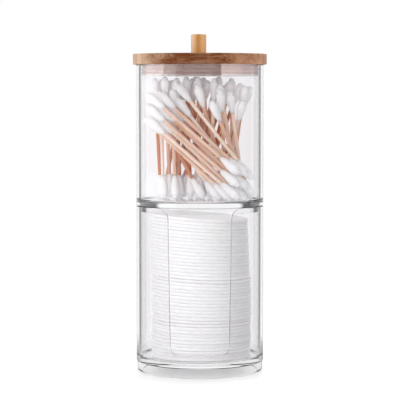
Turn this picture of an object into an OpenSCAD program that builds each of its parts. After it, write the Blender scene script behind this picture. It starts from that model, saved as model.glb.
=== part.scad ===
// Two-tier cotton swab and cotton pad organizer.
// Two clear round cups stand on each other: the lower one has a front window
// for taking pads out, and the upper one has a bamboo lid with a dowel knob.
// Origin at the centre of the base, +Z up, the window faces -Y. Millimetres.

/* [Cotton pads] */
// Diameter of a round cotton pad
pad_d = 59; // [57:0.5:62]
// Thickness of one pad
pad_t = 1.9; // [1.6:0.1:2.6]
// Number of pads in the stack
pad_count = 42; // [24:1:48]
// Height of a pad's rounded edge zone, measured inwards from its rim
pad_edge = 0.9; // [0.4:0.1:2]
// Space between the stack and the lower cup's wall
pad_side_gap = 5.5; // [4.5:0.25:8]
// Slope of the topmost pad, in degrees, down towards +X
stack_tilt = 4.5; // [0:0.5:5]
// Space above the middle of the stack, up to the rim
pad_headroom = 6; // [5:0.25:16]
// Least space between two pads, at the edge where they lie closest
pad_rest_gap = 0.02; // [0.01:0.01:0.06]
// How far the lowest pad lies off the middle, towards +X
stack_foot_shift = 0.8; // [-1.5:0.1:1.5]
// How far the stack sways back towards -X, from foot to top
stack_sway = 1.9; // [0:0.1:2.5]
// How far the second lot of pads lies off the others
lot_shift = 0.5; // [0:0.05:0.8]
// How far single pads lie off their lot
pad_scatter = 0.22; // [0:0.02:0.4]

/* [Cotton swabs] */
// Length of a swab from nose to nose
swab_length = 72; // [70:0.5:76]
// Diameter of the wooden stick
stick_d = 2.2; // [1.8:0.1:2.4]
// Largest diameter of the cotton tip
tip_d = 5.4; // [4.8:0.1:5.5]
// Length of the cotton tip
tip_length = 14; // [11:0.5:14.5]
// Cotton between the end of the stick and the nose of the tip
tip_nose_cover = 2; // [1:0.25:3]
// Diameter of the cotton tip where it ends on the stick
tip_neck_d = 3.2; // [2.8:0.1:3.4]
// Space between the tips of neighbouring swabs
swab_gap = 0.2; // [0.15:0.05:0.5]
// Space between the tips and the upper cup's wall
swab_wall_gap = 0.4; // [0.2:0.05:1]
// Space above an upright swab, up to the lid's plug
swab_headroom = 0.8; // [0.5:0.1:6]
// Forward lean of the swabs that stand in layers, in degrees
swab_forward_lean = 2; // [1.5:0.25:2.5]
// How far an upright swab that its neighbours hold may stand off the floor
swab_rise = 3; // [0:0.25:5]

/* [Cups] */
// Thickness of both cups' round walls
wall = 2.5; // [1.8:0.1:3.5]
// Thickness of the lower cup's floor
lower_floor = 8.6; // [7.5:0.1:12]
// Thickness of the upper cup's floor
upper_floor = 3; // [2:0.1:5]
// Radius of the rounded rims and outer edges
edge_r = 0.7; // [0.3:0.1:0.85]
// Radius of the fillet between wall and floor, inside
floor_fillet = 1.5; // [0.5:0.1:3]
// Height of the foot at the bottom of the lower cup
foot_height = 5.6; // [3:0.1:6.5]
// How far the foot stands back from the wall
foot_inset = 0.5; // [0.2:0.1:1]
// Width of the ring that the organizer stands on
foot_ring = 3; // [2:0.1:8]
// Depth of the hollow under the floor, inside that ring
foot_recess = 5.6; // [0.5:0.1:6]
// Height of the ring under the upper cup that drops into the lower one
spigot_height = 3.3; // [2:0.1:4]
// Thickness of that ring
spigot_wall = 2.4; // [1.5:0.1:4]
// Space between that ring and the lower cup's wall
spigot_gap = 0.4; // [0.2:0.05:0.8]

/* [Window] */
// Width of the window just under its rounded upper corners
window_top_w = 36; // [30:0.5:40]
// Width of the window just above its rounded lower corners
window_bottom_w = 33.5; // [28:0.5:38]
// Height of the window's lower edge above the base
window_sill = 13; // [11:0.5:20]
// Radius of the lower corners
window_corner_r = 4.5; // [2:0.5:8]
// Radius with which the window's sides run out into the rim
window_flare_r = 6; // [3:0.5:7]

/* [Lid] */
// Thickness of the bamboo disc
lid_t = 6.2; // [4:0.1:10]
// How far the disc stands out past the upper cup
lid_overhang = 1.8; // [1:0.1:4]
// Depth of the plug that goes into the upper cup
plug_depth = 6.7; // [5:0.1:10]
// Height of the bamboo lip that keeps the seal ring on the plug
plug_lip = 0.9; // [0.6:0.1:1.5]
// Space between that lip and the upper cup's wall
plug_gap = 0.8; // [0.5:0.05:1.5]
// Radius of the rounded edges of the disc
lid_edge_r = 0.5; // [0.2:0.1:1]
// Diameter of the dowel knob
knob_d = 9; // [7:0.5:16]
// How far the knob stands off the middle of the disc, towards -X
knob_shift = 0.7; // [0:0.1:2]
// Height of the knob above the disc
knob_height = 11.5; // [8:0.1:25]
// Depth of the knob's end in the disc
knob_tenon = 4.5; // [3:0.1:5.5]
// Chamfer of the knob's top edge
knob_chamfer = 0.5; // [0.2:0.1:1]

/* [Seal ring] */
// Radial thickness of the silicone ring under its ribs
seal_t = 1; // [0.8:0.1:2]
// How far the ribs stand out of the ring
seal_rib = 0.5; // [0.2:0.05:0.8]
// Number of ribs
seal_ribs = 3; // [2:1:4]
// Height of one rib
seal_rib_height = 1; // [0.6:0.1:1.2]
// Space between the ribs and the upper cup's wall
seal_gap = 0.3; // [0.25:0.05:0.5]

/* [Hidden] */
$fn = 96;
ARC_STEPS = 6;
CUT = 5;

inner_r = pad_d / 2 + pad_side_gap;
outer_r = inner_r + wall;

// Pad stack: each pad slopes a little more than the one below it.
pad_slope_step = stack_tilt / pad_count;
pad_pitch = pad_t + pad_d / 2 * sin(pad_slope_step) + pad_rest_gap;
stack_height = pad_count * pad_pitch;
// Pads come out of their bags in lots, which lie a little off each other.
LOT_STARTS = [1, 13, 26];
LOT_SHIFT = lot_shift * [[0, 0.4], [1, -1], [0, 0.6]];

// Heights above the base
lower_height = lower_floor + stack_height + pad_headroom;
swab_floor_z = lower_height + upper_floor;
swab_clear = swab_length + swab_headroom;
upper_height = upper_floor + swab_clear + plug_depth;
upper_rim_z = lower_height + upper_height;
lid_top_z = upper_rim_z + lid_t;

spigot_r = inner_r - spigot_gap;
lid_r = outer_r + lid_overhang;
plug_r = inner_r - plug_gap;
seal_outer_r = inner_r - seal_gap;
seal_base_r = seal_outer_r - seal_rib;
seal_inner_r = seal_base_r - seal_t;
seal_height = plug_depth - plug_lip;

// Most swabs stand in flat layers, one behind the other, which never cross.
// All layers are turned about Z, so that the right-hand ends come forward.
tip_r = tip_d / 2;
swab_pitch = tip_d + swab_gap;
swab_span = swab_length - tip_d;
swab_reach = inner_r - swab_wall_gap - tip_r;
LAYER_TURN = -17;
LAYER_SHIFT_Y = swab_pitch * 3 / 14;
// Diagonal layers, whose swabs lie on each other, heads to the left:
// [layer number, lean in degrees, first offset in swab pitches, count]
DIAGONAL_LAYERS = [
    [-3, 50, 0.3, 3],
    [-2, 48, 0.0, 4],
    [-1, 39, 0.2, 5]
];
// Upright layers: [layer number, first and last foot, first and last head,
// limit], all three as shares of the layer's half width. The swabs past the
// limit on the right are left out, and the loose ones go there.
MIDDLE_LAYERS = [
    [0, [0.02, 1.00], [-1.00, -0.02], 0.57],
    [1, [-0.86, 0.74], [-0.96, 0.80], 0.1],
    [2, [-0.92, 0.40], [-0.42, 0.98], 0]
];
BACK_LAYERS = [
    [3, [-1.00, 0.06], [-0.06, 1.00], 0.1],
    [4, [-0.62, 1.00], [-1.00, 0.50], 0.1],
    [5, [-0.80, 0.90], [-1.00, 0.80], 0]
];
// Uprights stand this much further apart than their tips need
LOOSE = 1.1;
// Uprights within this share of the half width are held by their neighbours
HELD = 0.8;
// These start the scatter of heads and rises at other numbers than the feet's
HEAD_SALT = 20;
RISE_SALT = 40;
// Loose swabs, [foot x, foot y, head x, head y] in mm in a cup that leaves
// their tips this much room: the first seven lean forward over the bundle,
// and the others fill the space behind it.
LOOSE_REACH = 31.9;
LOOSE_SWABS = [
    [26.5, 17, 17.5, -13.5],
    [13, 27, 24.5, -11],
    [30.5, 9, 7.5, -23.5],
    [15.5, 13, 12, -16.5],
    [18, 5.5, -1, -7],
    [23, 9, 12, -10.5],
    [18, 18, 26, -4.5],
    [-14.5, 4, -17, 17],
    [-22, 8, -24, 18.5],
    [6, 7, 8.5, 1],
    [20, 23, 19.5, 23.5],
    [-12, 28.5, -20.5, 24]
];

PAD_NUMBERS = [1 : pad_count];
function pad_name(i) = str("cotton_pad_", i < 10 ? "0" : "", i);

// Points on an arc about c, from angle a0 to a1
function arc(c, r, a0, a1) = [for (k = [0 : ARC_STEPS])
    let (a = a0 + (a1 - a0) * k / ARC_STEPS) c + r * [cos(a), sin(a)]];

// A steady scatter between -1 and 1 for piece number i
function scatter(i, salt) = sin(i * 137.5 + salt * 61);

// Rounded rim between the outer and the inner wall, at height h
function rim(h) = concat(
    arc([outer_r - edge_r, h - edge_r], edge_r, 0, 90),
    arc([inner_r + edge_r, h - edge_r], edge_r, 90, 180));

// Inside of a cup, from its wall down to its floor at height h
function inside_corner(h) = concat(
    arc([inner_r - floor_fillet, h + floor_fillet], floor_fillet, 0, -90),
    [[0, h]]);

module window_cutter() {
    top = window_top_w / 2;
    bottom = window_bottom_w / 2;
    half = concat(
        arc([bottom - window_corner_r, window_sill + window_corner_r],
            window_corner_r, -90, 0),
        arc([top + window_flare_r, lower_height - window_flare_r],
            window_flare_r, 180, 90),
        [[top + window_flare_r, lower_height + CUT]]);
    mirrored = [for (k = [len(half) - 1 : -1 : 0]) [-half[k].x, half[k].y]];
    rotate([90, 0, 0])
        linear_extrude(height = outer_r + CUT)
            polygon(concat(half, mirrored));
}

module lower_cup() {
    foot_r = outer_r - foot_inset;
    color("lightcyan", 0.4)
        difference() {
            rotate_extrude()
                polygon(concat(
                    [[0, foot_recess], [foot_r - foot_ring, foot_recess],
                     [foot_r - foot_ring, 0]],
                    arc([foot_r - edge_r, edge_r], edge_r, -90, 0),
                    [[foot_r, foot_height],
                     [outer_r, foot_height + foot_inset]],
                    rim(lower_height),
                    inside_corner(lower_floor)));
            window_cutter();
        }
}

module upper_cup() {
    color("lightcyan", 0.4)
        translate([0, 0, lower_height])
            rotate_extrude()
                polygon(concat(
                    [[0, 0], [spigot_r - spigot_wall, 0],
                     [spigot_r - spigot_wall, -spigot_height],
                     [spigot_r, -spigot_height], [spigot_r, 0]],
                    arc([outer_r - edge_r, edge_r], edge_r, -90, 0),
                    rim(upper_height),
                    inside_corner(upper_floor)));
}

// The disc and its plug are one turned piece of bamboo.
module lid_disc() {
    color("peru")
        translate([0, 0, upper_rim_z])
            difference() {
                rotate_extrude()
                    polygon(concat(
                        [[0, -plug_depth], [plug_r, -plug_depth],
                         [plug_r, -seal_height], [seal_inner_r, -seal_height],
                         [seal_inner_r, 0]],
                        arc([lid_r - lid_edge_r, lid_edge_r], lid_edge_r, -90, 0),
                        arc([lid_r - lid_edge_r, lid_t - lid_edge_r],
                            lid_edge_r, 0, 90),
                        [[0, lid_t]]));
                translate([-knob_shift, 0, lid_t - knob_tenon])
                    cylinder(d = knob_d, h = knob_tenon + CUT);
            }
}

module lid_knob() {
    color("burlywood")
        translate([-knob_shift, 0, lid_top_z - knob_tenon])
            rotate_extrude()
                polygon([
                    [0, 0], [knob_d / 2, 0],
                    [knob_d / 2, knob_tenon + knob_height - knob_chamfer],
                    [knob_d / 2 - knob_chamfer, knob_tenon + knob_height],
                    [0, knob_tenon + knob_height]]);
}

module seal_ring() {
    rib_step = (seal_height - seal_rib_height) / (seal_ribs - 1);
    color("mistyrose")
        translate([0, 0, upper_rim_z - seal_height])
            rotate_extrude()
                polygon(concat(
                    [[seal_inner_r, 0]],
                    [for (k = [0 : seal_ribs - 1]) let (z = k * rib_step)
                        each [[k == 0 ? seal_outer_r - seal_rib / 2 : seal_base_r, z],
                              [seal_outer_r, z + seal_rib_height / 3],
                              [seal_outer_r, z + seal_rib_height * 2 / 3],
                              [k == seal_ribs - 1 ? seal_outer_r - seal_rib / 2
                                                  : seal_base_r,
                               z + seal_rib_height]]],
                    [[seal_inner_r, seal_height]]));
}

// Which lot a pad belongs to
function lot(i) = len([for (s = LOT_STARTS) if (i >= s) s]) - 1;

function pad_offset(i) = let (t = (i - 1) / (pad_count - 1)) [
    stack_foot_shift - stack_sway * t * t + LOT_SHIFT[lot(i)].x
        + pad_scatter * scatter(i, 1),
    LOT_SHIFT[lot(i)].y + pad_scatter * scatter(i, 2)];

// Pad number i of the stack, counted from the floor
module cotton_pad(i) {
    r = pad_d / 2;
    shift = pad_offset(i);
    color("white")
        translate([shift.x, shift.y, lower_floor + (i - 0.5) * pad_pitch])
            rotate([0, (i - 1) * pad_slope_step, 0])
                rotate_extrude()
                    polygon(concat(
                        [[0, -pad_t / 2]],
                        [for (p = arc([0, 0], 1, -90, 90))
                            [r - pad_edge + pad_edge * p.x, pad_t / 2 * p.y]],
                        [[0, pad_t / 2]]));
}

// Half width that the cup leaves to a layer's tips. All layers lean forward.
function layer_y(k) = k * swab_pitch + LAYER_SHIFT_Y;
function layer_half_width(k) = let (
    head_y = layer_y(k) - swab_clear * sin(swab_forward_lean),
    y = max(abs(layer_y(k)), abs(head_y)))
    sqrt(max(swab_reach * swab_reach - y * y, 1));

// Places in a layer: [x of the foot, height of the foot, lean in degrees],
// where the foot is the centre of the lower tip's round end.
function diagonal_places(layer) = let (
    w = layer_half_width(layer[0]),
    lean = min(layer[1], asin(min(1, 2 * w / swab_span)) - 1),
    first_x = -w + swab_span * sin(lean))
    [for (j = [0 : layer[3] - 1])
        let (x = first_x + (j + layer[2]) * swab_pitch / cos(lean),
             climb = max(0, x - w) / tan(lean),
             head_z = tip_r + climb + swab_span * cos(lean))
        if (head_z < swab_clear - tip_r) [min(x, w), tip_r + climb, -lean]];

function upright_places(layer) = let (
    w = layer_half_width(layer[0]),
    feet = layer[1] * w,
    heads = layer[2] * w,
    lean = asin((heads[0] - feet[0]) / swab_span),
    last_lean = asin((heads[1] - feet[1]) / swab_span),
    slant = cos(max(abs(lean), abs(last_lean))),
    width = min(feet[1] - feet[0], heads[1] - heads[0]),
    n = floor(width * slant / (swab_pitch * LOOSE)),
    play = (width / n - swab_pitch / slant) / 2)
    [for (j = [0 : n])
        let (inner = (j == 0 || j == n) ? 0 : 1,
             foot = feet[0] + (feet[1] - feet[0]) * j / n
                 + inner * play * scatter(j, layer[0]),
             head = heads[0] + (heads[1] - heads[0]) * j / n
                 + inner * play * scatter(j, layer[0] + HEAD_SALT),
             a = asin((head - foot) / swab_span),
             slack = swab_clear - tip_d - swab_span * cos(a),
             held = abs(head) < HELD * w && abs(foot) < HELD * w,
             rise = held ? min(slack, swab_rise) : 0,
             slide = max(0, rise) * (1 + scatter(j, layer[0] + RISE_SALT)) / 2)
        if (foot + slide * sin(a) < layer[3] * w)
            [foot + slide * sin(a), tip_r + slide * cos(a), a]];

module place_swabs(k, places) {
    rotate([0, 0, LAYER_TURN])
        translate([0, layer_y(k), swab_floor_z])
            rotate([swab_forward_lean, 0, 0])
                for (p = places)
                    translate([p[0], 0, p[1]])
                        rotate([0, p[2], 0])
                            children();
}

// A loose swab s stands on the floor and leans from its foot to its head
module place_loose(s) {
    k = swab_reach / LOOSE_REACH;
    way = [s[2] - s[0], s[3] - s[1]] * k;
    translate([s[0] * k, s[1] * k, swab_floor_z + tip_r])
        rotate([0, asin(norm(way) / swab_span), atan2(way.y, way.x)])
            children();
}

module stick() {
    cylinder(d = stick_d, h = swab_length - 2 * tip_nose_cover, center = true);
}

// Cotton wound on the stick's end, with its nose at the origin, pointing down
module tip() {
    widest = tip_d * 0.85;
    taper = tip_length - widest;
    rotate_extrude()
        polygon(concat(
            [for (k = [0 : ARC_STEPS]) let (a = 90 * k / ARC_STEPS)
                [tip_r * sin(a), widest * (1 - cos(a))]],
            [for (k = [1 : 4]) let (t = k / 4)
                [tip_neck_d / 2 + (tip_r - tip_neck_d / 2)
                     * (0.5 + 0.5 * cos(180 * t)) ,
                 widest + taper * t]],
            [[stick_d / 2, tip_length], [stick_d / 2, tip_nose_cover],
             [0, tip_nose_cover]]));
}

module middle_stick() {
    translate([0, 0, swab_span / 2]) stick();
}

module both_tips() {
    translate([0, 0, -tip_r]) tip();
    translate([0, 0, swab_span + tip_r]) rotate([180, 0, 0]) tip();
}

module swab_sticks(diagonals, uprights, loose) {
    color("burlywood") {
        for (layer = diagonals)
            place_swabs(layer[0], diagonal_places(layer)) middle_stick();
        for (layer = uprights)
            place_swabs(layer[0], upright_places(layer)) middle_stick();
        for (s = loose)
            place_loose(s) middle_stick();
    }
}

module swab_tips(diagonals, uprights, loose) {
    color("white") {
        for (layer = diagonals)
            place_swabs(layer[0], diagonal_places(layer)) both_tips();
        for (layer = uprights)
            place_swabs(layer[0], upright_places(layer)) both_tips();
        for (s = loose)
            place_loose(s) both_tips();
    }
}

lower_cup();
upper_cup();
lid_disc();
lid_knob();
seal_ring();
swab_sticks(DIAGONAL_LAYERS, [], []);  // swab_sticks_front
swab_tips(DIAGONAL_LAYERS, [], []);  // swab_tips_front
swab_sticks([], MIDDLE_LAYERS, []);  // swab_sticks_middle
swab_tips([], MIDDLE_LAYERS, []);  // swab_tips_middle
swab_sticks([], BACK_LAYERS, []);  // swab_sticks_back
swab_tips([], BACK_LAYERS, []);  // swab_tips_back
swab_sticks([], [], LOOSE_SWABS);  // swab_sticks_loose
swab_tips([], [], LOOSE_SWABS);  // swab_tips_loose
for (i = PAD_NUMBERS)
    cotton_pad(i);
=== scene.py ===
# %% [markdown]
# # A clear organizer for cotton swabs and cotton pads
#
# The real thing is two clear acrylic cups, one standing on the other. The upper one is full of
# wooden-stick swabs and is closed by a bamboo lid with a dowel for a knob. The lower one has a
# window in front and holds a leaning stack of round cotton pads.
#
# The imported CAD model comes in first, as a fixed frame. The cups, the lid, the knob and the seal
# ring already have their true shape there, so they only get materials. The swabs and the pads are
# soft, or too plain as CAD, so they are modelled again in their places.

import math

import bpy
import numpy as np
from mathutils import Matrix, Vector, noise


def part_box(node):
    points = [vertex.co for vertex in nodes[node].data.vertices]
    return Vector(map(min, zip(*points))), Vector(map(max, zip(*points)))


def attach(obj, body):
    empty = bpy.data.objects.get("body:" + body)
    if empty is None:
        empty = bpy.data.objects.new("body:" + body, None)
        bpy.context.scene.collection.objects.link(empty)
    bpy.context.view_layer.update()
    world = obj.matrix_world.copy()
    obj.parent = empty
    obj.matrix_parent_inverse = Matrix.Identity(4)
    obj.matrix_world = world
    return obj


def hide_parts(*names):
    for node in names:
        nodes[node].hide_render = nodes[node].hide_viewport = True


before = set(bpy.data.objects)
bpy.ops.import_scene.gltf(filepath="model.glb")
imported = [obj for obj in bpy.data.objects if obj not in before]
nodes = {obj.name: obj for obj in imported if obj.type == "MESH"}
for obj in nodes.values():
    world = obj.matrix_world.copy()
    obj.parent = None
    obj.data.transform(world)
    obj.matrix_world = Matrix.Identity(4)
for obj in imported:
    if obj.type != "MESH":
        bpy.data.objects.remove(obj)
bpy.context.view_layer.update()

# %% [markdown]
# ## The camera
#
# The photograph looks almost level at the lid and a little down on the foot: the lid's top edge is
# a straight line, and the foot's front curves down by 10 pixels. Those two facts fix the camera's
# height and distance, and the cups' width then gives the lens. The lens that fits the measured
# edges is a long one, tilted down by four degrees, with no shift.

# %% Place the camera
CAMERA_HEIGHT = 0.1674
CAMERA_DISTANCE = 0.9835
CAMERA_TILT = math.radians(3.90)
FOCAL_PIXELS = 1669
PHOTO_PIXELS = 400

lens = bpy.data.cameras.new("product_lens")
lens.sensor_width = 36
lens.lens = 36 * FOCAL_PIXELS / PHOTO_PIXELS
lens.clip_start = 0.05
lens.clip_end = 30
camera = bpy.data.objects.new("product_camera", lens)
camera.location = (0.0001, -CAMERA_DISTANCE, CAMERA_HEIGHT)
camera.rotation_euler = (math.pi / 2 - CAMERA_TILT, 0, 0)
bpy.context.scene.collection.objects.link(camera)
bpy.context.scene.camera = camera
bpy.context.scene.view_settings.view_transform = "Standard"
print("lens, mm:", round(lens.lens, 1))

# %% [markdown]
# ## A short way to write shader nodes
#
# Materials are easier to read as a list of nodes with their inputs than as pages of links. `put`
# adds one node, sets its properties, and takes each input either as a value or as the socket that
# feeds it. `calculate` and `blend_colours` are the two nodes that come up most.


# %% Node helpers
def feed(tree, socket, value):
    """Gives an input its value, or links it to the socket that feeds it."""
    if isinstance(value, bpy.types.NodeSocket):
        tree.links.new(value, socket)
    else:
        socket.default_value = value


def put(tree, kind, inputs=None, **settings):
    """Adds a shader node. inputs maps a socket's name or number to a value or to another socket."""
    node = tree.nodes.new("ShaderNode" + kind)
    for name, value in settings.items():
        setattr(node, name, value)
    for name, value in (inputs or {}).items():
        feed(tree, node.inputs[name], value)
    return node


def calculate(tree, operation, *values):
    """A Math node's result."""
    return put(tree, "Math", dict(enumerate(values)), operation=operation).outputs[0]


def blend_colours(tree, share, first, second):
    """Colour between first and second."""
    node = put(tree, "Mix", {0: share}, data_type="RGBA")
    feed(tree, node.inputs[6], first)
    feed(tree, node.inputs[7], second)
    return node.outputs[2]


def new_group(name, inputs, outputs):
    """A shader node group with named sockets. Returns it with its input and output nodes."""
    group = bpy.data.node_groups.new(name, "ShaderNodeTree")
    for socket_name, kind, value in inputs:
        socket = group.interface.new_socket(socket_name, in_out="INPUT", socket_type="NodeSocket" + kind)
        if value is not None:
            socket.default_value = value
    for socket_name, kind in outputs:
        group.interface.new_socket(socket_name, in_out="OUTPUT", socket_type="NodeSocket" + kind)
    return group, group.nodes.new("NodeGroupInput"), group.nodes.new("NodeGroupOutput")


def use_group(tree, group, inputs):
    """Places a group in a material and returns its outputs by name."""
    node = tree.nodes.new("ShaderNodeGroup")
    node.node_tree = group
    for name, value in inputs.items():
        feed(tree, node.inputs[name], value)
    return node.outputs


def new_material(name):
    """An empty node material with its output node."""
    material = bpy.data.materials.new(name)
    material.use_nodes = True
    material.node_tree.nodes.clear()
    return material, material.node_tree, material.node_tree.nodes.new("ShaderNodeOutputMaterial")


# %% [markdown]
# ## Wood grain
#
# The lid, the knob and the swab sticks are all bamboo or wood, and all show long fibres with
# broader streaks under them. One group draws both, from noise that is stretched along the grain.
# Each material gives it a vector whose X runs along its own grain, and its own two colours.

# %% Build the wood grain group
wood_grain, grain_in, grain_out = new_group(
    "wood grain",
    [("Vector", "Vector", None), ("Pale", "Color", (0.8, 0.6, 0.4, 1)), ("Dark", "Color", (0.5, 0.3, 0.15, 1)),
     ("Tone", "Float", 0.5), ("Fibres per metre", "Float", 900.0), ("Stretch", "Float", 30.0)],
    [("Color", "Color"), ("Roughness", "Float"), ("Height", "Float")])
squeezed = put(wood_grain, "VectorMath", {0: grain_in.outputs["Vector"]}, operation="SCALE")
wood_grain.links.new(grain_in.outputs["Fibres per metre"], squeezed.inputs["Scale"])
along = calculate(wood_grain, "DIVIDE", 1.0, grain_in.outputs["Stretch"])
stretch = put(wood_grain, "CombineXYZ", {0: along, 1: 1.0, 2: 1.0})
fibre_space = put(wood_grain, "VectorMath", {0: squeezed.outputs[0], 1: stretch.outputs[0]}, operation="MULTIPLY")
fibres = put(wood_grain, "TexNoise", {
    "Vector": fibre_space.outputs[0], "Scale": 1.0, "Detail": 3.0, "Roughness": 0.6})
streak_space = put(wood_grain, "VectorMath", {0: fibre_space.outputs[0]}, operation="SCALE")
streak_space.inputs["Scale"].default_value = 0.17
streaks = put(wood_grain, "TexNoise", {"Vector": streak_space.outputs[0], "Scale": 1.0, "Detail": 2.0})
fibre_part = calculate(wood_grain, "MULTIPLY", calculate(wood_grain, "SUBTRACT", fibres.outputs[0], 0.5), 0.9)
streak_part = calculate(wood_grain, "MULTIPLY", calculate(wood_grain, "SUBTRACT", streaks.outputs[0], 0.5), 0.9)
mixed = calculate(wood_grain, "ADD", calculate(wood_grain, "ADD", fibre_part, streak_part), grain_in.outputs["Tone"])
share = put(wood_grain, "Clamp", {0: mixed}).outputs[0]
wood_grain.links.new(blend_colours(wood_grain, share, grain_in.outputs["Pale"], grain_in.outputs["Dark"]),
                     grain_out.inputs["Color"])
rougher = calculate(wood_grain, "MULTIPLY_ADD", fibres.outputs[0], 0.25, 0.38)
wood_grain.links.new(rougher, grain_out.inputs["Roughness"])
wood_grain.links.new(fibres.outputs[0], grain_out.inputs["Height"])
print("wood grain group:", len(wood_grain.nodes), "nodes")

# %% [markdown]
# ## Cotton fibres
#
# Pads and swab tips are the same stuff: loose white fibres, with faint grey painted shade in the
# hollows between them. A group makes the hollows from a medium noise and the single fibres from a fine, stretched one.
# The pads are pressed and the tips are wound, so each material sets its own scale and stretch.

# %% Build the cotton group
cotton_fibres, cotton_in, cotton_out = new_group(
    "cotton fibres",
    [("Vector", "Vector", None), ("Cotton", "Color", (0.9, 0.9, 0.9, 1)), ("Painted hollow shade", "Color", (0.75, 0.75, 0.78, 1)),
     ("Tufts per metre", "Float", 450.0), ("Fibres per metre", "Float", 3500.0)],
    [("Color", "Color"), ("Height", "Float")])
tufts = put(cotton_fibres, "TexNoise", {"Vector": cotton_in.outputs["Vector"], "Detail": 3.0, "Roughness": 0.55})
cotton_fibres.links.new(cotton_in.outputs["Tufts per metre"], tufts.inputs["Scale"])
threads = put(cotton_fibres, "TexNoise", {"Vector": cotton_in.outputs["Vector"], "Detail": 2.0, "Distortion": 1.2})
cotton_fibres.links.new(cotton_in.outputs["Fibres per metre"], threads.inputs["Scale"])
fluff = calculate(cotton_fibres, "ADD", calculate(cotton_fibres, "MULTIPLY", tufts.outputs[0], 0.65),
                  calculate(cotton_fibres, "MULTIPLY", threads.outputs[0], 0.35))
# Painted shade: where the fluff is low, the cotton turns to the greyer hollow colour.
painted_hollow_shade = put(cotton_fibres, "MapRange", {0: fluff, 1: 0.62, 2: 0.36, 3: 0.0, 4: 1.0}).outputs[0]
shaded = blend_colours(cotton_fibres, painted_hollow_shade, cotton_in.outputs["Cotton"], cotton_in.outputs["Painted hollow shade"])
cotton_fibres.links.new(shaded, cotton_out.inputs["Color"])
cotton_fibres.links.new(fluff, cotton_out.inputs["Height"])
print("cotton group:", len(cotton_fibres.nodes), "nodes")

# %% [markdown]
# ## Handling marks on smooth plastic
#
# Moulded plastic is never quite even: it has a slight waviness from the mould, and fine hazy
# patches where it has been wiped. The group gives a roughness and a height for that, and the cups
# and the seal ring use it with their own strength.

# %% Build the handling marks group
handling_marks, marks_in, marks_out = new_group(
    "handling marks",
    [("Vector", "Vector", None), ("Clean roughness", "Float", 0.01), ("Haze", "Float", 0.03)],
    [("Roughness", "Float"), ("Height", "Float")])
haze = put(handling_marks, "TexNoise", {
    "Vector": marks_in.outputs["Vector"], "Scale": 38.0, "Detail": 4.0, "Roughness": 0.6})
patches = put(handling_marks, "MapRange", {0: haze.outputs[0], 1: 0.5, 2: 0.75, 3: 0.0, 4: 1.0}).outputs[0]
rougher = calculate(handling_marks, "MULTIPLY_ADD", patches, marks_in.outputs["Haze"],
                    marks_in.outputs["Clean roughness"])
waves = put(handling_marks, "TexNoise", {"Vector": marks_in.outputs["Vector"], "Scale": 22.0, "Detail": 1.0})
handling_marks.links.new(rougher, marks_out.inputs["Roughness"])
handling_marks.links.new(waves.outputs[0], marks_out.inputs["Height"])
print("handling marks group:", len(handling_marks.nodes), "nodes")

# %% [markdown]
# ## Clear acrylic
#
# Acrylic bends light a little less than window glass and has almost no tint. The cups are closed
# solids with real wall thickness, so plain refraction draws the dark lines along their walls and
# rims by itself. Lamps would be stopped by that refraction, and so would light that has left the
# cotton, so for those rays the wall is simply transparent.

# %% Make the acrylic
ACRYLIC_IOR = 1.49

clear_acrylic, tree, surface = new_material("clear_acrylic")
place = put(tree, "TexCoord")
marks = use_group(tree, handling_marks, {"Vector": place.outputs["Object"], "Clean roughness": 0.0, "Haze": 0.015})
waviness = put(tree, "Bump", {"Strength": 0.08, "Distance": 0.0004, "Height": marks["Height"]})
acrylic = put(tree, "BsdfPrincipled", {
    "Base Color": (0.965, 0.958, 0.972, 1), "Metallic": 0.0, "Transmission Weight": 1.0, "IOR": ACRYLIC_IOR,
    "Roughness": marks["Roughness"], "Normal": waviness.outputs[0]})
rays = put(tree, "LightPath")
let_through = calculate(tree, "MAXIMUM", rays.outputs["Is Shadow Ray"], rays.outputs["Is Diffuse Ray"])
seen_or_lit = put(tree, "MixShader", {0: let_through, 1: acrylic.outputs[0],
                                      2: put(tree, "BsdfTransparent", {"Color": (0.985, 0.985, 0.985, 1)}).outputs[0]})
tree.links.new(seen_or_lit.outputs[0], surface.inputs["Surface"])

for name in ("lower_cup", "upper_cup"):
    nodes[name].data.materials.clear()
    nodes[name].data.materials.append(clear_acrylic)
    print(name, "faces:", len(nodes[name].data.polygons))

# %% [markdown]
# ## Bamboo lid
#
# The disc is turned from a bamboo board: strips about 12 mm wide, glued side by side, each with
# its own tone, and butted end to end here and there. In the photograph a dark strip faces the
# viewer, with paler ones beside it, and the pieces right of the joint are redder. Their pale is
# also brighter, which is painted light that makes up for the dimmer light at the right. The strips
# run along X, so a place's Y tells its strip, and its X tells which piece of that strip. Each side
# of a ply is written from front to back: the front strip's tone, then every edge with its blur
# and the tone behind it.
# The board has two plies, which meet at the disc's underside. The plug is cut from the lower,
# paler one, and shows only through the seal ring. Its left strips are painted darker and its right
# piece paler, which is painted shade and painted light that even out the light from the left. The
# lip below the ring is sanded, so it is paler still.

# %% Make the bamboo of the disc
PLUG_LIP = 0.0010
DISC_JOINT, PLUG_JOINT = 0.0042, 0.0118
DISC_LEFT = (0.97, [
    (-0.0268, 0.0104, 0.03), (-0.0150, 0.0001, 0.18), (-0.0025, 0.0001, 0.55), (0.0100, 0.0001, 0.35),
    (0.0225, 0.0001, 0.70)])
DISC_RIGHT_WITH_PAINTED_LIGHT = (0.90, [
    (-0.0355, 0.0022, 0.52), (-0.0250, 0.0040, 0.30), (-0.0150, 0.0001, 0.36), (-0.0025, 0.0001, 0.55),
    (0.0100, 0.0001, 0.30), (0.0225, 0.0001, 0.60)])
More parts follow.
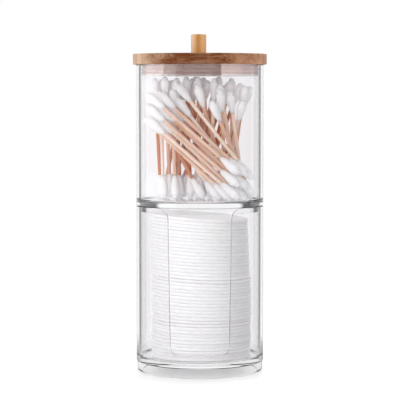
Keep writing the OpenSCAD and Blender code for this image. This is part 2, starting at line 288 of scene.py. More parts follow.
# Partly painted light: the plug's left strips are darker and its right piece paler, to even out the light from the
# left.
PLUG_LEFT_WITH_PAINTED_SHADE = (0.94, [
    (-0.0265, 0.0004, 0.25), (-0.0073, 0.0001, 0.15), (0.0052, 0.0001, 0.30), (0.0177, 0.0001, 0.15)])
PLUG_RIGHT_WITH_PAINTED_LIGHT = (0.00, [
    (-0.0228, 0.0001, 0.15), (-0.0073, 0.0001, 0.20), (0.0052, 0.0001, 0.05), (0.0177, 0.0001, 0.30)])


def strip_tones(tree, across, front_tone, edges):
    """Steps from one strip's tone to the next along the number across, from -0.05 to 0.05 m."""
    ramp = put(tree, "ValToRGB", {0: put(tree, "MapRange", {0: across, 1: -0.05, 2: 0.05}).outputs[0]})
    stops = ramp.color_ramp.elements
    stops[0].color = (front_tone,) * 3 + (1,)
    stops[1].color = (edges[-1][2],) * 3 + (1,)
    before = front_tone
    for edge, blur, behind in edges:
        stops.new((edge - blur + 0.05) / 0.1).color = (before,) * 3 + (1,)
        stops.new((edge + blur + 0.05) / 0.1).color = (behind,) * 3 + (1,)
        before = behind
    return put(tree, "SeparateColor", {0: ramp.outputs[0]}).outputs[0]


def ply_tones(tree, place, butt_joint, left, right):
    """One ply of the board, whose left and right pieces meet at a butt joint."""
    right_piece = calculate(tree, "GREATER_THAN", place.outputs["X"], butt_joint)
    tone = put(tree, "Mix", {0: right_piece, 2: strip_tones(tree, place.outputs["Y"], *left),
                             3: strip_tones(tree, place.outputs["Y"], *right)}).outputs[0]
    return right_piece, tone


bamboo, tree, surface = new_material("bamboo")
place = put(tree, "TexCoord")
xyz = put(tree, "SeparateXYZ", {0: place.outputs["Object"]})
right_in_disc, disc_tone = ply_tones(tree, xyz, DISC_JOINT, DISC_LEFT, DISC_RIGHT_WITH_PAINTED_LIGHT)
_, plug_tone = ply_tones(tree, xyz, PLUG_JOINT, PLUG_LEFT_WITH_PAINTED_SHADE, PLUG_RIGHT_WITH_PAINTED_LIGHT)
on_lip = calculate(tree, "LESS_THAN", xyz.outputs["Z"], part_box("lid_disc")[0][2] + PLUG_LIP)
plug_tone = put(tree, "Mix", {0: on_lip, 2: plug_tone, 3: calculate(tree, "MULTIPLY", plug_tone, 0.62)}).outputs[0]
in_plug = calculate(tree, "LESS_THAN", xyz.outputs["Z"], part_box("upper_cup")[1][2] - 0.0001)
tone = put(tree, "Mix", {0: in_plug, 2: disc_tone, 3: plug_tone}).outputs[0]
# Partly painted light: the right piece's pale is redder wood, and brighter to make up for the dimmer light at the
# right.
pale_in_disc_with_painted_light = blend_colours(tree, right_in_disc, (0.66, 0.44, 0.29, 1), (0.84, 0.45, 0.26, 1))
grain = use_group(tree, wood_grain, {
    "Vector": place.outputs["Object"], "Tone": tone,
    "Pale": blend_colours(tree, in_plug, pale_in_disc_with_painted_light, (0.95, 0.90, 0.90, 1)),
    "Dark": (0.150, 0.040, 0.009, 1), "Fibres per metre": 1100.0, "Stretch": 26.0})
relief = put(tree, "Bump", {"Strength": 0.35, "Distance": 0.0001, "Height": grain["Height"]})
board = put(tree, "BsdfPrincipled", {"Base Color": grain["Color"], "Roughness": grain["Roughness"],
                                     "Normal": relief.outputs[0], "Specular IOR Level": 0.12})
tree.links.new(board.outputs[0], surface.inputs["Surface"])
nodes["lid_disc"].data.materials.clear()
nodes["lid_disc"].data.materials.append(bamboo)

# %% [markdown]
# ## Dowel knob
#
# The knob is a length of lighter dowel, so its grain runs up and down. Turning the texture space
# on its side lets the same grain group draw it. A darker band is painted down its middle, where the
# round knob faces the front: that is painted shade. So the tone depends on the distance from that
# plane, and the wood right of it is yellower.

# %% Make the dowel's wood
SHADED_MIDDLE_PLACE = -0.0010

dowel_wood, tree, surface = new_material("dowel_wood")
place = put(tree, "TexCoord")
upright = put(tree, "Mapping", {"Vector": place.outputs["Object"], "Rotation": (0, math.pi / 2, 0)})
x_place = put(tree, "SeparateXYZ", {0: place.outputs["Object"]}).outputs["X"]
from_shaded_middle = calculate(tree, "SUBTRACT", x_place, SHADED_MIDDLE_PLACE)
off_shaded_middle = calculate(tree, "ABSOLUTE", from_shaded_middle)
# Painted shade: a dark band down the knob's middle, where it faces the front.
painted_middle_shade = put(tree, "MapRange", {0: off_shaded_middle, 1: 0.0003, 2: 0.0031, 3: 0.85, 4: 0.10}).outputs[0]
yellower = put(tree, "MapRange", {0: from_shaded_middle, 1: 0.0, 2: 0.002}).outputs[0]
pale_wood = blend_colours(tree, yellower, (0.80, 0.57, 0.39, 1), (0.98, 0.61, 0.31, 1))
grain = use_group(tree, wood_grain, {
    "Vector": upright.outputs[0], "Tone": painted_middle_shade, "Pale": pale_wood, "Dark": (0.53, 0.245, 0.065, 1),
    "Fibres per metre": 900.0, "Stretch": 22.0})
relief = put(tree, "Bump", {"Strength": 0.3, "Distance": 0.0001, "Height": grain["Height"]})
dowel = put(tree, "BsdfPrincipled", {"Base Color": grain["Color"], "Roughness": grain["Roughness"],
                                     "Normal": relief.outputs[0], "Specular IOR Level": 0.2})
tree.links.new(dowel.outputs[0], surface.inputs["Surface"])
nodes["lid_knob"].data.materials.clear()
nodes["lid_knob"].data.materials.append(dowel_wood)

# %% [markdown]
# ## Silicone seal ring
#
# The ring is milky silicone. It lets the bamboo behind it show as a blurred, pinkish shade, which
# rough transmission gives. As with the cups, lamps and bounced light pass straight through.

# %% Make the silicone
milky_silicone, tree, surface = new_material("milky_silicone")
place = put(tree, "TexCoord")
marks = use_group(tree, handling_marks, {"Vector": place.outputs["Object"], "Clean roughness": 0.3, "Haze": 0.15})
waviness = put(tree, "Bump", {"Strength": 0.1, "Distance": 0.0002, "Height": marks["Height"]})
silicone = put(tree, "BsdfPrincipled", {
    "Base Color": (0.98, 0.86, 0.84, 1), "Metallic": 0.0, "Transmission Weight": 0.84, "IOR": 1.41,
    "Roughness": marks["Roughness"], "Normal": waviness.outputs[0]})
rays = put(tree, "LightPath")
let_through = calculate(tree, "MAXIMUM", rays.outputs["Is Shadow Ray"], rays.outputs["Is Diffuse Ray"])
seen_or_lit = put(tree, "MixShader", {0: let_through, 1: silicone.outputs[0],
                                      2: put(tree, "BsdfTransparent", {"Color": (0.96, 0.91, 0.90, 1)}).outputs[0]})
tree.links.new(seen_or_lit.outputs[0], surface.inputs["Surface"])
nodes["seal_ring"].data.materials.clear()
nodes["seal_ring"].data.materials.append(milky_silicone)

# %% [markdown]
# ## Reading the swabs' places
#
# A CAD node holds a whole group of swabs as one mesh. Each stick is a separate shell in it, so
# the shells are found by walking along the edges, and each one's axis is the direction in which
# its corners spread most. The tips' outline is read the same way, as radius along the axis.


# %% Find the separate shells of a node
def shells(node):
    """The corner points of each separate shell in a CAD node's mesh."""
    mesh = node.data
    points = np.empty(3 * len(mesh.vertices))
    mesh.vertices.foreach_get("co", points)
    corners, corner_of = np.unique(points.reshape(-1, 3).round(6), axis=0, return_inverse=True)
    ends = np.empty(2 * len(mesh.edges), dtype=int)
    mesh.edges.foreach_get("vertices", ends)
    ends = corner_of.ravel()[ends].reshape(-1, 2)
    label = np.arange(len(corners))
    while True:
        lowest = label[ends].min(axis=1)
        joined = label.copy()
        np.minimum.at(joined, ends[:, 0], lowest)
        np.minimum.at(joined, ends[:, 1], lowest)
        joined = joined[joined]
        if (joined == label).all():
            return [corners[label == k] for k in np.unique(label)]
        label = joined


def axis_of(points):
    """Middle, direction and half length of a long thin shell."""
    direction = np.linalg.svd(points - points.mean(axis=0), full_matrices=False)[2][0]
    reach = (points - points.mean(axis=0)) @ direction
    middle = points.mean(axis=0) + direction * (reach.min() + reach.max()) / 2
    return middle, direction, (reach.max() - reach.min()) / 2


GROUPS = ("front", "middle", "back", "loose")
sticks = {group: [axis_of(points) for points in shells(nodes["swab_sticks_" + group])] for group in GROUPS}
print("swabs:", {group: len(sticks[group]) for group in GROUPS})

# %% Read the outline of a tip
first_middle, first_way, first_half = sticks["front"][0]
outlines = []
for points in shells(nodes["swab_tips_front"]):
    reach = (points - first_middle) @ first_way
    radius = np.linalg.norm(points - first_middle - reach[:, None] * first_way, axis=1)
    if radius.max() < 0.0032 and reach.min() > 0:
        outlines.append((reach, radius))
reach, radius = outlines[0]
nose = reach.max()
steps = np.unique((nose - reach).round(5))
outer = [max(radius[abs(nose - reach - s) < 2e-5]) for s in steps]
TIP_LENGTH = float(steps[-1])
TIP_COVER = float(nose - first_half)
print("tip: length %.1f mm, cover %.1f mm, widest %.1f mm" % (1e3 * TIP_LENGTH, 1e3 * TIP_COVER, 2e3 * max(outer)))

# %% [markdown]
# ## Many small turned bodies in one mesh
#
# Sticks and tips are both rings of points round an axis. `Lathe` collects such bodies in one
# mesh, and keeps two things for every point: its place along and across its own body, which the
# textures use so that grain and fibres follow each swab, and a tone, so that no two are alike.


# %% The lathe
def across(direction):
    """Two directions square to a given one."""
    first = np.cross(direction, (0.0, 1.0, 0.0) if abs(direction[1]) < 0.9 else (1.0, 0.0, 0.0))
    first /= np.linalg.norm(first)
    return first, np.cross(direction, first)


class Lathe:
    def __init__(self, sides):
        self.sides = sides
        self.points, self.faces, self.local, self.tones = [], [], [], []

    def add(self, start, direction, rings, tone, shift=0.0):
        """A closed body. rings holds (distance from start, [radius at each side])."""
        first, second = across(direction)
        base = len(self.points)
        for along, radii in rings:
            for side, radius in enumerate(radii):
                turn = 2 * math.pi * side / self.sides
                x, y = radius * math.cos(turn), radius * math.sin(turn)
                self.points.append(start + along * direction + x * first + y * second)
                self.local.append((along + shift, x, y))
                self.tones.append(tone)
        for ring in range(len(rings) - 1):
            for side in range(self.sides):
                a, b = base + ring * self.sides + side, base + ring * self.sides + (side + 1) % self.sides
                self.faces.append((a, b, b + self.sides, a + self.sides))
        last = base + (len(rings) - 1) * self.sides
        self.faces.append(tuple(base + side for side in reversed(range(self.sides))))
        self.faces.append(tuple(last + side for side in range(self.sides)))

    def mesh_object(self, name, material):
        mesh = bpy.data.meshes.new(name)
        mesh.from_pydata([tuple(p) for p in self.points], [], self.faces)
        local = mesh.attributes.new("own_place", "FLOAT_VECTOR", "POINT")
        local.data.foreach_set("vector", np.array(self.local).ravel())
        tone = mesh.attributes.new("own_tone", "FLOAT", "POINT")
        tone.data.foreach_set("value", np.array(self.tones))
        mesh.shade_smooth()
        mesh.materials.append(material)
        thing = bpy.data.objects.new(name, mesh)
        bpy.context.scene.collection.objects.link(thing)
        print(name, "faces:", len(mesh.polygons))
        return thing


# %% [markdown]
# ## Wooden sticks
#
# The sticks are thin birch dowels. Each one is a little paler or redder than the next, and where
# many lie together the light that bounces between them turns a deep orange. The groups further
# back are painted darker and redder as well, as painted shade for the inside of the bundle,
# because that is how the photograph shows them. A dowel is never quite round, so the radius
# wanders by a hair.

# %% Make the sticks' wood
stick_wood, tree, surface = new_material("stick_wood")
own_place = put(tree, "Attribute", attribute_name="own_place")
own_tone = put(tree, "Attribute", attribute_name="own_tone")
# Tone carries the groups' painted shade, so the Dark colour is partly dark grain and partly painted shade.
grain = use_group(tree, wood_grain, {
    "Vector": own_place.outputs["Vector"], "Tone": own_tone.outputs["Fac"], "Pale": (0.93, 0.77, 0.66, 1),
    "Dark": (0.54, 0.165, 0.045, 1), "Fibres per metre": 2600.0, "Stretch": 30.0})
relief = put(tree, "Bump", {"Strength": 0.3, "Distance": 0.00005, "Height": grain["Height"]})
birch = put(tree, "BsdfPrincipled", {
    "Base Color": grain["Color"], "Roughness": grain["Roughness"], "Normal": relief.outputs[0],
    "Specular IOR Level": 0.3, "Subsurface Weight": 0.4, "Subsurface Radius": (1.0, 0.35, 0.12),
    "Subsurface Scale": 0.0018})
tree.links.new(birch.outputs[0], surface.inputs["Surface"])

# %% Turn the sticks
STICK_SIDES = 12
chance = np.random.default_rng(7)
STICK_RADIUS = 0.0011
STICK_WANDER = 0.00003
# Painted shade: the middle and back groups start darker and redder, for the shade inside the bundle.
GROUP_PAINTED_SHADE = {"front": 0.0, "middle": 0.55, "back": 0.65, "loose": 0.1}
for group in GROUPS:
    lathe = Lathe(STICK_SIDES)
    for number, (middle, way, half) in enumerate(sticks[group]):
        shift = chance.uniform(0, 5)
        rings = []
        for along in np.linspace(-half, half, 15):
            wander = [noise.noise(Vector((along * 60 + shift, side * 0.7, number))) for side in range(STICK_SIDES)]
            rings.append((along, [STICK_RADIUS + STICK_WANDER * w for w in wander]))
        lathe.add(middle, way, rings, GROUP_PAINTED_SHADE[group] + chance.uniform(0.0, 0.45), shift)
    piece = lathe.mesh_object("wood_sticks_" + group, stick_wood)
    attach(piece, "cups")
    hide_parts("swab_sticks_" + group)

# %% [markdown]
# ## Wound cotton tips
#
# A tip is cotton wound round the stick's end: a drop shape with soft lumps and faint turns of
# fibre, thinning out where it meets the wood. The CAD's outline gives the drop, and two noises
# push each point in or out by about a tenth of a millimetre, so the tips still clear each other.

# %% Make the wound cotton
wound_cotton, tree, surface = new_material("wound_cotton")
own_place = put(tree, "Attribute", attribute_name="own_place")
own_tone = put(tree, "Attribute", attribute_name="own_tone")
turns = put(tree, "VectorMath", {0: own_place.outputs["Vector"], 1: (2.6, 1.0, 1.0)}, operation="MULTIPLY")
fibres = use_group(tree, cotton_fibres, {
    "Vector": turns.outputs[0], "Cotton": (0.975, 0.965, 0.985, 1), "Painted hollow shade": (0.92, 0.905, 0.935, 1),
    "Tufts per metre": 520.0, "Fibres per metre": 3200.0})
toned = put(tree, "VectorMath", {0: fibres["Color"]}, operation="SCALE")
tree.links.new(own_tone.outputs["Fac"], toned.inputs["Scale"])
relief = put(tree, "Bump", {"Strength": 0.5, "Distance": 0.00018, "Height": fibres["Height"]})
cotton = put(tree, "BsdfPrincipled", {
    "Base Color": toned.outputs[0], "Roughness": 0.95, "Normal": relief.outputs[0], "Specular IOR Level": 0.1,
    "Sheen Weight": 0.2, "Sheen Roughness": 0.5, "Subsurface Weight": 0.9, "Subsurface Radius": (1.0, 0.97, 1.0),
    "Subsurface Scale": 0.006})
tree.links.new(cotton.outputs[0], surface.inputs["Surface"])

# %% Wind the tips
TIP_SIDES = 24
TIP_RINGS = 20
TIP_SHOULDER = 0.006
TIP_THIN_END = 0.0025


def wound_tip(lathe, end, way, seed):
    """Adds a tip on a stick's end, with its nose towards way."""
    rings = []
    for k in range(TIP_RINGS + 1):
        from_nose = TIP_LENGTH * (k / TIP_RINGS) ** 1.25 + 0.00004
        radius = float(np.interp(from_nose, steps, outer))
        thinning = min(1.0, max(0.0, (TIP_LENGTH - from_nose) / TIP_THIN_END))
        if from_nose > TIP_SHOULDER:
            radius = STICK_RADIUS + (radius - STICK_RADIUS) * (0.25 + 0.75 * thinning)
        radii = []
        for side in range(TIP_SIDES):
            turn = 2 * math.pi * side / TIP_SIDES
            place = Vector((math.cos(turn) * 1.1, math.sin(turn) * 1.1, from_nose * 420 + seed))
            lump = 0.11 * noise.noise(place) + 0.05 * noise.noise(place * 2.7)
            winding = 0.03 * math.sin(turn + from_nose * 4200 + seed)
            radii.append(max(0.00005, radius + 0.001 * (lump + winding - 0.03) * min(1.0, radius / 0.0015)))
        rings.append((TIP_COVER - from_nose, radii))
    lathe.add(end, way, rings[::-1], 0.98 + 0.02 * math.sin(seed * 12.9), seed)


for group in GROUPS:
    lathe = Lathe(TIP_SIDES)
    for number, (middle, way, half) in enumerate(sticks[group]):
        for sign in (-1, 1):
            wound_tip(lathe, middle + sign * half * way, sign * way, 3.1 * number + sign + len(group))
    piece = lathe.mesh_object("cotton_tips_" + group, wound_cotton)
    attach(piece, "cups")
    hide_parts("swab_tips_" + group)

# %% [markdown]
# ## Cotton pads
#
# A pad is a thin disc of pressed cotton. Its edge is what shows: soft, not quite round, and
# pressed a little differently all the way round, so the dark lines between pads waver. Every pad
# is built from rings of points, placed and tilted as its CAD solid is. Its faces are pressed in,
# never out, so that the stack doesn't grow into itself.

# %% Make the pressed cotton
pressed_cotton, tree, surface = new_material("pressed_cotton")
own_place = put(tree, "Attribute", attribute_name="own_place")
own_tone = put(tree, "Attribute", attribute_name="own_tone")
layers = put(tree, "VectorMath", {0: own_place.outputs["Vector"], 1: (1.0, 1.0, 2.4)}, operation="MULTIPLY")
fibres = use_group(tree, cotton_fibres, {
    "Vector": layers.outputs[0], "Cotton": (0.945, 0.93, 0.95, 1), "Painted hollow shade": (0.88, 0.86, 0.89, 1),
    "Tufts per metre": 260.0, "Fibres per metre": 2400.0})
toned = put(tree, "VectorMath", {0: fibres["Color"]}, operation="SCALE")
tree.links.new(own_tone.outputs["Fac"], toned.inputs["Scale"])
relief = put(tree, "Bump", {"Strength": 0.4, "Distance": 0.0002, "Height": fibres["Height"]})
cotton = put(tree, "BsdfPrincipled", {
    "Base Color": toned.outputs[0], "Roughness": 0.95, "Normal": relief.outputs[0], "Specular IOR Level": 0.1,
    "Sheen Weight": 0.6, "Sheen Roughness": 0.35, "Subsurface Weight": 0.5, "Subsurface Radius": (1.0, 0.97, 1.0),
    "Subsurface Scale": 0.0015})
tree.links.new(cotton.outputs[0], surface.inputs["Surface"])

# %% Press the pads
PAD_SIDES = 96
EDGE_STEPS = 8
PACKET_ENDS = (10, 11, 23, 24)
PAD_SOFTNESS, PACKET_END_SOFTNESS = 0.00028, 0.0008
PAD_DENT = 0.12


def pad_rings(radius, half_thick, softness, seed):
    """Rings of (radius, height) at each side, from the middle of the top to that of the bottom."""
    rings = [[] for _ in range(EDGE_STEPS + 7)]
    for side in range(PAD_SIDES):
        turn = 2 * math.pi * side / PAD_SIDES
        here = Vector((math.cos(turn) * 2.2, math.sin(turn) * 2.2, seed))
        rim = radius + 0.0001 * (1.4 * noise.noise(here) + 0.6 * noise.noise(here * 3.1) - 0.6)
        soft = softness * (1.1 + 0.5 * noise.noise(here * 1.7 + Vector((5, 0, 0))))
        drift = 0.0001 * noise.noise(here * 2.3 + Vector((0, 9, 0)))
        flats = [0.02, 0.45, 0.8]
        column = [(radius * f, half_thick * (1 - PAD_DENT * (1 - f))) for f in flats]
        for k in range(EDGE_STEPS + 1):
            lift = math.pi / 2 - math.pi * k / EDGE_STEPS
            column.append((rim - soft + soft * math.cos(lift), half_thick * math.sin(lift) + drift * math.cos(lift)))
        column += [(radius * f, -half_thick * (1 - PAD_DENT * (1 - f))) for f in reversed(flats)]
        for ring, place in zip(rings, column):
            ring.append(place)
    return rings


def pressed_pad(name, points, softness, seed):
    """A pad in the place of its CAD solid's corner points."""
    upward = np.linalg.svd(points - points.mean(axis=0), full_matrices=False)[2][2]
    upward = upward if upward[2] > 0 else -upward
    first = np.cross((0.0, 1.0, 0.0), upward)
    first /= np.linalg.norm(first)
    second = np.cross(upward, first)
    spans = [(points @ axis).min() / 2 + (points @ axis).max() / 2 for axis in (first, second, upward)]
    middle = spans[0] * first + spans[1] * second + spans[2] * upward
    radius = np.ptp(points @ second) / 2
    rings = pad_rings(radius, np.ptp(points @ upward) / 2, softness, seed)
    corners, local, faces = [], [], []
    for ring in rings:
        for side, (out, up) in enumerate(ring):
            turn = 2 * math.pi * side / PAD_SIDES
            x, y = out * math.cos(turn), out * math.sin(turn)
            corners.append(tuple(middle + x * first + y * second + up * upward))
            local.append((x + seed, y, up))
    for k in range(len(rings) - 1):
        for side in range(PAD_SIDES):
            a, b = k * PAD_SIDES + side, k * PAD_SIDES + (side + 1) % PAD_SIDES
            faces.append((a, a + PAD_SIDES, b + PAD_SIDES, b))
    last = (len(rings) - 1) * PAD_SIDES
    faces.append(tuple(range(PAD_SIDES)))
    faces.append(tuple(last + side for side in reversed(range(PAD_SIDES))))
    mesh = bpy.data.meshes.new(name)
    mesh.from_pydata(corners, [], faces)
    mesh.attributes.new("own_place", "FLOAT_VECTOR", "POINT").data.foreach_set("vector", np.array(local).ravel())
    tone = 0.985 + 0.015 * math.sin(seed * 7.7)
    mesh.attributes.new("own_tone", "FLOAT", "POINT").data.foreach_set("value", np.full(len(corners), tone))
    mesh.shade_smooth()
    mesh.materials.append(pressed_cotton)
    pad = bpy.data.objects.new(name, mesh)
    bpy.context.scene.collection.objects.link(pad)
    return pad


pad_nodes = sorted(name for name in nodes if name.startswith("cotton_pad_"))
for number, node_name in enumerate(pad_nodes):
    pad = pressed_pad("pressed_pad_" + node_name[-2:], shells(nodes[node_name])[0],
                      PACKET_END_SOFTNESS if number in PACKET_ENDS else PAD_SOFTNESS, 1.37 * number)
    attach(pad, "cups")
    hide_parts(node_name)
print("pads:", len(pad_nodes), "faces each:", len(pad.data.polygons))

# %% [markdown]
# ## White studio
#
# The photograph has no horizon: floor and background are one white. Clear plastic has nothing of
# its own to show, so what stands round it matters, and the world gives each kind of ray its own
# part of the studio:
#
# - Rays bent by a wall see dark cards. Photographers set such cards beside clear plastic, out of
#   view, and its walls draw them as thin dark lines. They stand on all four diagonals, so each side
#   of the part looks alike, and they fade out between 21 and 30 degrees of height. A ray that went
#   straight through two walls hardly sees them, or the whole cup would turn grey when somebody
#   looks along a diagonal.
# - Mirrored rays see a bright softbox at the left. It lays a milky veil over the swabs, with a
#   sharp edge. Its foot is above the floor, so the lower cup has no veil. Behind the camera they
#   see a dark room, so the middle of the front stays clear.
# - The soft light on wood and cotton is even, and dimmer at the right, where a black flag stands.
# - The camera itself sees plain white.

# %% Paint the world
WHITE = (1.0, 1.0, 1.0, 1)
CARD = (0.09, 0.09, 0.10, 1)
CARD_HALF_WIDTH, CARD_BLUR = 16.0, 3.0
CARD_FADE, CARD_TOP = 0.36, 0.50
SURFACES_OF_TWO_WALLS = 4
THROUGH_BOTH = 0.15
PLAIN_LEVEL, FLAG_LEVEL = 0.86, 0.52
FLAG_BEARING, FLAG_FULL, FLAG_END = 108.0, 30.0, 65.0
SOFTBOX_BEARING, SOFTBOX_HALF_WIDTH, SOFTBOX_GLARE = -92.0, 45.0, 2.2
SOFTBOX_FOOT, SOFTBOX_BLUR = -0.066, 0.6
ROOM_BEARING, ROOM_HALF_WIDTH, ROOM_LEVEL, ROOM_BLUR = 149.0, 74.0, 0.12, 2.0


def bearing_of(tree, xyz):
    """Degrees round Z, from +Y towards +X."""
    return calculate(tree, "DEGREES", calculate(tree, "ARCTAN2", xyz.outputs["X"], xyz.outputs["Y"]))


def turned_from(tree, bearing, centre):
    """Degrees between a bearing and a centre, the short way round."""
    turned = calculate(tree, "SUBTRACT", bearing, centre)
    return calculate(tree, "ABSOLUTE", calculate(tree, "WRAP", turned, 180.0, -180.0))


def beside_part(tree, bearing):
    """1 where a dark card stands, 0 elsewhere, with soft ends."""
    quarter = calculate(tree, "WRAP", bearing, 90.0, 0.0)
    from_diagonal = calculate(tree, "ABSOLUTE", calculate(tree, "SUBTRACT", quarter, 45.0))
    return put(tree, "MapRange", {0: from_diagonal, 1: CARD_HALF_WIDTH + CARD_BLUR, 2: CARD_HALF_WIDTH - CARD_BLUR},
               interpolation_type="SMOOTHSTEP").outputs[0]


def card_strength(tree, rays):
    """1 for a ray that was turned inside a wall, THROUGH_BOTH for one that went straight through two."""
    crossed = calculate(tree, "GREATER_THAN", rays.outputs["Transmission Depth"], SURFACES_OF_TWO_WALLS - 0.5)
    unturned = calculate(tree, "LESS_THAN", rays.outputs["Glossy Depth"], 0.5)
    straight = calculate(tree, "MULTIPLY", crossed, unturned)
    return put(tree, "MapRange", {0: straight, 3: 1.0, 4: THROUGH_BOTH}).outputs[0]


world = bpy.data.worlds.new("white_studio")
bpy.context.scene.world = world
world.use_nodes = True
tree = world.node_tree
tree.nodes.clear()
rays = put(tree, "LightPath")
direction = put(tree, "SeparateXYZ", {0: put(tree, "TexCoord").outputs["Generated"]})
bearing = bearing_of(tree, direction)
near_diagonal = beside_part(tree, bearing)
steepness = calculate(tree, "ABSOLUTE", direction.outputs["Z"])
below_top = put(tree, "MapRange", {0: steepness, 1: CARD_TOP, 2: CARD_FADE},
                interpolation_type="SMOOTHSTEP").outputs[0]
on_card = calculate(tree, "MULTIPLY", near_diagonal, below_top)
on_card = calculate(tree, "MULTIPLY", on_card, card_strength(tree, rays))
cards = put(tree, "Background", {"Color": blend_colours(tree, on_card, WHITE, CARD), "Strength": 1.0})
softbox_glare = put(tree, "MapRange", {
    0: turned_from(tree, bearing, SOFTBOX_BEARING), 1: SOFTBOX_HALF_WIDTH + SOFTBOX_BLUR,
    2: SOFTBOX_HALF_WIDTH - SOFTBOX_BLUR, 3: 0.0, 4: SOFTBOX_GLARE}).outputs[0]
above_foot = put(tree, "MapRange", {0: direction.outputs["Z"], 1: SOFTBOX_FOOT - 0.015, 2: SOFTBOX_FOOT}).outputs[0]
softbox_glare = calculate(tree, "MULTIPLY", softbox_glare, above_foot)
room = put(tree, "MapRange", {
    0: turned_from(tree, bearing, ROOM_BEARING), 1: ROOM_HALF_WIDTH - ROOM_BLUR,
    2: ROOM_HALF_WIDTH + ROOM_BLUR, 3: ROOM_LEVEL, 4: 1.0}).outputs[0]
mirrored = put(tree, "Background", {"Color": WHITE, "Strength": calculate(tree, "MAXIMUM", room, softbox_glare)})
flagged = put(tree, "MapRange", {
    0: turned_from(tree, bearing, FLAG_BEARING), 1: FLAG_FULL, 2: FLAG_END, 3: FLAG_LEVEL, 4: PLAIN_LEVEL},
    interpolation_type="SMOOTHSTEP").outputs[0]
plain = put(tree, "Background", {"Color": WHITE, "Strength": flagged})
backdrop = put(tree, "Background", {"Color": WHITE, "Strength": 1.0})
reflected = put(tree, "MixShader", {0: rays.outputs["Is Glossy Ray"], 1: plain.outputs[0], 2: mirrored.outputs[0]})
bent = put(tree, "MixShader", {0: rays.outputs["Is Transmission Ray"], 1: reflected.outputs[0], 2: cards.outputs[0]})
seen = put(tree, "MixShader", {0: rays.outputs["Is Camera Ray"], 1: bent.outputs[0], 2: backdrop.outputs[0]})
tree.links.new(seen.outputs[0], put(tree, "OutputWorld").inputs["Surface"])

# %% [markdown]
# ## Floor sheet
#
# A round sheet of white paper catches the part's shadow. It fades out before its rim, so that no
# line shows where it ends. Near the foot it has a little gloss, which gives the faint upside-down
# image of the foot in the photograph. Rays bent by the cups see the cards' feet on it as well.

# %% Lay the floor sheet
FLOOR_RADIUS = 0.17
CARD_FEET_FROM, CARD_FEET_FULL = 0.035, 0.045
FLOOR_SIDES, SHEET_FADE_FROM = 96, 0.085
FLOOR_GLOW, BENT_GLOW = 0.60, 0.42
FOOT_GLOSS, GLOSS_FROM, GLOSS_TO = 0.25, 0.034, 0.058

sheet_paper, tree, surface = new_material("sheet_paper")
place = put(tree, "TexCoord")
speck = put(tree, "TexNoise", {"Vector": place.outputs["Object"], "Scale": 900.0, "Detail": 2.0})
paper_colour = blend_colours(tree, speck.outputs[0], (0.50, 0.50, 0.50, 1), (0.54, 0.54, 0.54, 1))
xyz = put(tree, "SeparateXYZ", {0: place.outputs["Object"]})
from_middle = put(tree, "VectorMath", {0: place.outputs["Object"]}, operation="LENGTH").outputs["Value"]
outside = put(tree, "MapRange", {0: from_middle, 1: CARD_FEET_FROM, 2: CARD_FEET_FULL}).outputs[0]
rays = put(tree, "LightPath")
card_foot = calculate(tree, "MULTIPLY", beside_part(tree, bearing_of(tree, xyz)), outside)
card_foot = calculate(tree, "MULTIPLY", card_foot, card_strength(tree, rays))
seen_white = put(tree, "MapRange", {0: card_foot, 3: BENT_GLOW, 4: 0.0}).outputs[0]
through = calculate(tree, "MULTIPLY", calculate(tree, "MAXIMUM", rays.outputs["Is Glossy Ray"],
                                                rays.outputs["Is Transmission Ray"]), seen_white)
added = calculate(tree, "MAXIMUM", calculate(tree, "MULTIPLY", rays.outputs["Is Camera Ray"], FLOOR_GLOW), through)
paper = put(tree, "BsdfDiffuse", {"Color": paper_colour})
glow = put(tree, "Emission", {"Color": WHITE, "Strength": added})
lit = put(tree, "AddShader", {0: paper.outputs[0], 1: glow.outputs[0]})
gloss = put(tree, "BsdfGlossy", {"Color": (0.98, 0.98, 0.98, 1), "Roughness": 0.12})
near_foot = put(tree, "MapRange", {0: from_middle, 1: GLOSS_FROM, 2: GLOSS_TO, 3: FOOT_GLOSS, 4: 0.0}).outputs[0]
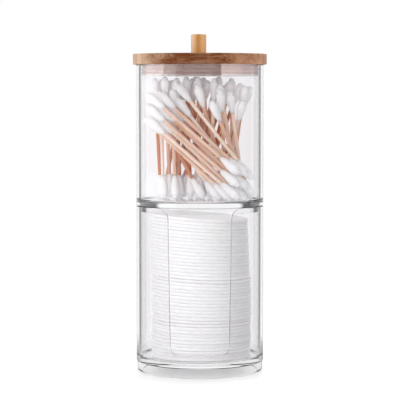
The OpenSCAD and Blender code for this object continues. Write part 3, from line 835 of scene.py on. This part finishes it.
share_mirrored = calculate(tree, "MULTIPLY", rays.outputs["Is Camera Ray"], near_foot)
lit = put(tree, "MixShader", {0: share_mirrored, 1: lit.outputs[0], 2: gloss.outputs[0]})
fading = put(tree, "MapRange", {0: from_middle, 1: SHEET_FADE_FROM, 2: FLOOR_RADIUS - 0.002},
             interpolation_type="SMOOTHSTEP").outputs[0]
sheet = put(tree, "MixShader", {0: fading, 1: lit.outputs[0], 2: put(tree, "BsdfTransparent").outputs[0]})
tree.links.new(sheet.outputs[0], surface.inputs["Surface"])

rim = [(FLOOR_RADIUS * math.cos(turn), FLOOR_RADIUS * math.sin(turn), 0.0)
       for turn in np.linspace(0, 2 * math.pi, FLOOR_SIDES, endpoint=False)]
floor_mesh = bpy.data.meshes.new("floor_sheet")
floor_mesh.from_pydata(rim, [], [tuple(range(FLOOR_SIDES))])
floor_mesh.materials.append(sheet_paper)
floor_sheet = bpy.data.objects.new("floor_sheet", floor_mesh)
floor_sheet.location.z = -0.0003
bpy.context.scene.collection.objects.link(floor_sheet)

# %% [markdown]
# ## Lamps
#
# The world already gives even light, so three small lamps only shape it. One beside the camera
# reaches the swabs deep in the cup. One at the front left makes the pads bright on that side, and
# they turn a soft grey towards the right. One behind and above shines through the cotton.

# %% Hang the softboxes
def softbox(name, place, target, width, watts):
    """A square area lamp that faces target."""
    lamp = bpy.data.lights.new(name, "AREA")
    lamp.size = width
    lamp.energy = watts
    holder = bpy.data.objects.new(name, lamp)
    holder.location = place
    holder.rotation_mode = "QUATERNION"
    holder.rotation_quaternion = (Vector(target) - Vector(place)).to_track_quat("-Z", "Y")
    bpy.context.scene.collection.objects.link(holder)
    holder.visible_camera = holder.visible_glossy = holder.visible_transmission = False
    return holder


PART_MIDDLE = (0, 0, 0.12)
softbox("front_softbox", (-0.14, -1.08, 0.15), PART_MIDDLE, 0.3, 3.0)
softbox("left_softbox", (-0.75, -0.70, 0.25), PART_MIDDLE, 0.5, 1.5)
softbox("rear_softbox", (0.45, 0.80, 0.45), PART_MIDDLE, 0.5, 2.8)
